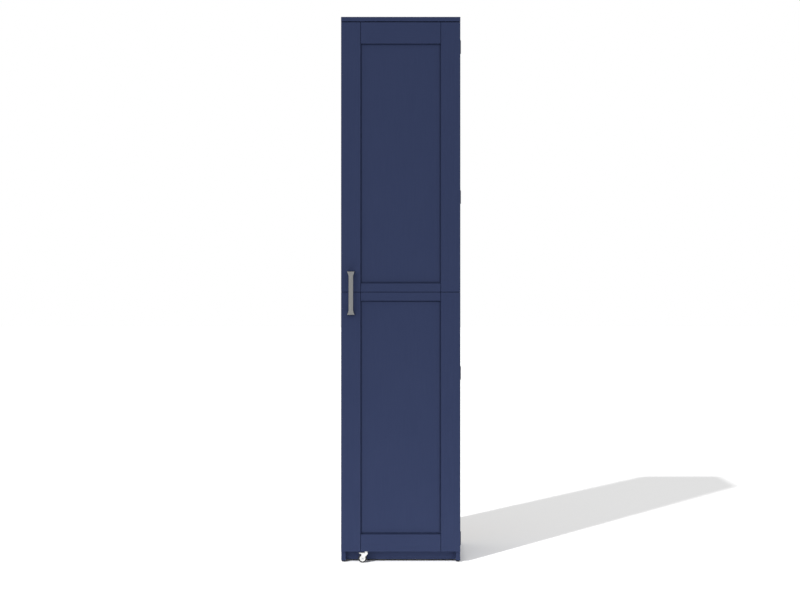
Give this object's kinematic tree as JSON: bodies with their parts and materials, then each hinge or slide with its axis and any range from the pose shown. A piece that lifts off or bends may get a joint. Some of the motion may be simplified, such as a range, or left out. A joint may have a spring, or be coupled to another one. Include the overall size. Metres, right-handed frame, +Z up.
{
  "type": "tall storage cabinet",
  "caption": "Tall narrow storage cabinet: split frame-and-panel door on knuckle hinges, upright bar pull, caster under the door, fixed middle shelf and loose shelves on pins.",
  "frame": {"origin": "on the floor, under the middle of the reach from the pull's front to the back panel", "axes": "+Z up; the door faces -Y; the hinges are at +X and the pull at -X"},
  "size_m": [0.4023, 0.4206, 1.829],
  "materials": {
    "navy_laminate": "satin",
    "hardboard": "matte",
    "dark_hinge_steel": "satin",
    "zinc_steel": "satin",
    "cast_zinc": "matte",
    "beech": "matte",
    "satin_nickel": "brushed",
    "magnet_iron": "matte",
    "black_plastic": "matte",
    "clear_rubber": "soft",
    "white_nylon": "satin",
    "dark_rubber": "matte",
    "white_wheel": "satin"
  },
  "bodies": {
    "case": {"left_side_panel": "navy_laminate", "right_side_panel": "navy_laminate", "top_board": "navy_laminate", "bottom_board": "navy_laminate", "kick_board": "navy_laminate", "fixed_shelf": "navy_laminate", "upper_back_panel": "hardboard", "lower_back_panel": "hardboard", "cam_bolts": "zinc_steel", "cam_locks": "cast_zinc", "wood_dowels": "beech", "back_nails": "zinc_steel", "wall_bracket": "zinc_steel", "wall_bracket_screws": "zinc_steel", "shelf_pins": "zinc_steel", "floor_glides": "black_plastic", "hinge_case_screws": "zinc_steel", "catch_housing": "black_plastic", "catch_magnet": "magnet_iron", "catch_screws": "zinc_steel", "hinge_1_case_leaf": "dark_hinge_steel", "hinge_2_case_leaf": "dark_hinge_steel", "hinge_3_case_leaf": "dark_hinge_steel", "hinge_4_case_leaf": "dark_hinge_steel", "hinge_1_pin": "dark_hinge_steel", "hinge_2_pin": "dark_hinge_steel", "hinge_3_pin": "dark_hinge_steel", "hinge_4_pin": "dark_hinge_steel"},
    "door": {"upper_left_stile": "navy_laminate", "upper_right_stile": "navy_laminate", "upper_top_rail": "navy_laminate", "upper_bottom_rail": "navy_laminate", "upper_panel": "navy_laminate", "lower_left_stile": "navy_laminate", "lower_right_stile": "navy_laminate", "lower_top_rail": "navy_laminate", "lower_bottom_rail": "navy_laminate", "lower_panel": "navy_laminate", "hinge_1_door_leaf": "dark_hinge_steel", "hinge_2_door_leaf": "dark_hinge_steel", "hinge_3_door_leaf": "dark_hinge_steel", "hinge_4_door_leaf": "dark_hinge_steel", "hinge_door_screws": "zinc_steel", "joining_plates": "dark_hinge_steel", "joining_plate_screws": "zinc_steel", "handle": "satin_nickel", "handle_screws": "zinc_steel", "strike_plate": "zinc_steel", "strike_screws": "zinc_steel", "door_bumpers": "clear_rubber", "caster_socket": "white_nylon"},
    "caster_yoke": {"caster_fork": "white_nylon", "caster_axle": "zinc_steel"},
    "caster_roller": {"caster_wheel": "white_wheel", "caster_tyre": "dark_rubber"},
    "shelf_1": {"loose_shelf_1": "navy_laminate"},
    "shelf_2": {"loose_shelf_2": "navy_laminate"},
    "shelf_3": {"loose_shelf_3": "navy_laminate"},
    "shelf_4": {"loose_shelf_4": "navy_laminate"}
  },
  "joints": [
    {"name": "door_swing", "type": "hinge", "parent": "case", "child": "door", "pos_m": [0.2001, -0.164, 0.907], "axis": [0, 0, 1], "range_deg": [0, 175]},
    {"name": "caster_swivel", "type": "hinge", "parent": "door", "child": "caster_yoke", "pos_m": [-0.116, -0.1725, 0.03], "axis": [0, 0, 1], "continuous": true},
    {"name": "caster_roll", "type": "hinge", "parent": "caster_yoke", "child": "caster_roller", "pos_m": [-0.128, -0.1725, 0.014], "axis": [0, 1, 0], "continuous": true},
    {"name": "shelf_1_lift", "type": "slide", "parent": "case", "child": "shelf_1", "axis": [0, 0, 1], "range_m": [0, 0.064]},
    {"name": "shelf_2_lift", "type": "slide", "parent": "case", "child": "shelf_2", "axis": [0, 0, 1], "range_m": [0, 0.064]},
    {"name": "shelf_3_lift", "type": "slide", "parent": "case", "child": "shelf_3", "axis": [0, 0, 1], "range_m": [0, 0.064]},
    {"name": "shelf_4_lift", "type": "slide", "parent": "case", "child": "shelf_4", "axis": [0, 0, 1], "range_m": [0, 0.064]}
  ]
}
